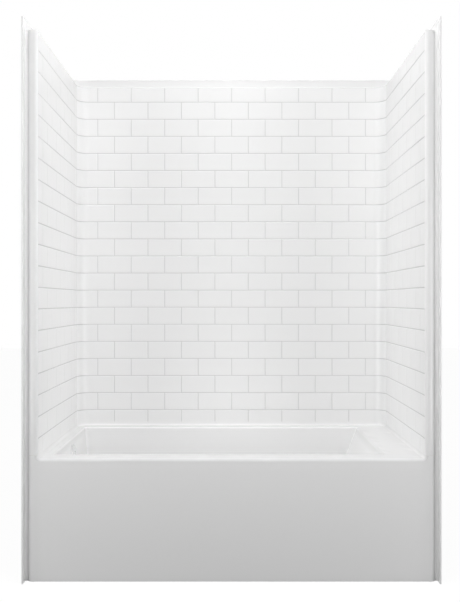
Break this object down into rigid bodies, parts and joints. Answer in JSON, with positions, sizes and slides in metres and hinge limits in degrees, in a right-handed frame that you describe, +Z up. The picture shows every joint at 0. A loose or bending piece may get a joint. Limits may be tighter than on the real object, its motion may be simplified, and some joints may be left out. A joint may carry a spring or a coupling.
{
  "type": "tub and shower unit",
  "caption": "Alcove bathtub and shower surround with moulded tile-relief walls, plain apron, waste and overflow set and a push drain stopper.",
  "frame": {"origin": "on the floor, under the middle of the unit's width and depth", "axes": "+X to the bather's right seen from the room, +Y from the apron to the back wall, +Z up"},
  "size_m": [1.524, 0.85, 2.06],
  "materials": {
    "gelcoat": "white gloss gelcoat",
    "white_seal": "white silicone",
    "black_rubber": "black rubber",
    "zinc_steel": "zinc plated",
    "spring_steel": "drawn wire",
    "timber": "raw softwood and plywood",
    "white_pvc": "white pipe plastic",
    "chrome": "polished chrome",
    "brass": "turned brass"
  },
  "bodies": {
    "unit": {"tub_shell": "gelcoat", "back_wall": "gelcoat", "left_end_wall": "gelcoat", "right_end_wall": "gelcoat", "deck_seal": "white_seal", "left_corner_seal": "white_seal", "right_corner_seal": "white_seal", "deck_seam_bolts": "zinc_steel", "deck_seam_nuts": "zinc_steel", "corner_seam_bolts": "zinc_steel", "corner_seam_nuts": "zinc_steel", "back_wall_battens": "timber", "left_wall_battens": "timber", "right_wall_battens": "timber", "apron_board": "timber", "front_sill": "timber", "deck_strips": "timber", "deck_props": "timber", "basin_board": "timber", "basin_runners": "timber", "drain_flange": "chrome", "drain_flange_gasket": "black_rubber", "shoe_gasket": "black_rubber", "drain_shoe": "white_pvc", "waste_arm": "white_pvc", "waste_tee": "white_pvc", "slip_nuts": "white_pvc", "slip_washers": "black_rubber", "overflow_tube": "white_pvc", "overflow_elbow": "white_pvc", "overflow_gasket": "black_rubber", "overflow_plate": "chrome", "overflow_screws": "chrome", "tailpiece": "white_pvc", "stopper_post": "brass", "stopper_spring": "spring_steel"},
    "stopper": {"stopper_cap": "chrome", "stopper_seal": "black_rubber", "stopper_sleeve": "chrome"}
  },
  "joints": [
    {"name": "stopper_lift", "type": "slide", "parent": "unit", "child": "stopper", "axis": [0, 0, 1], "range_m": [0, 0.009], "deforming": ["stopper_spring"]}
  ]
}
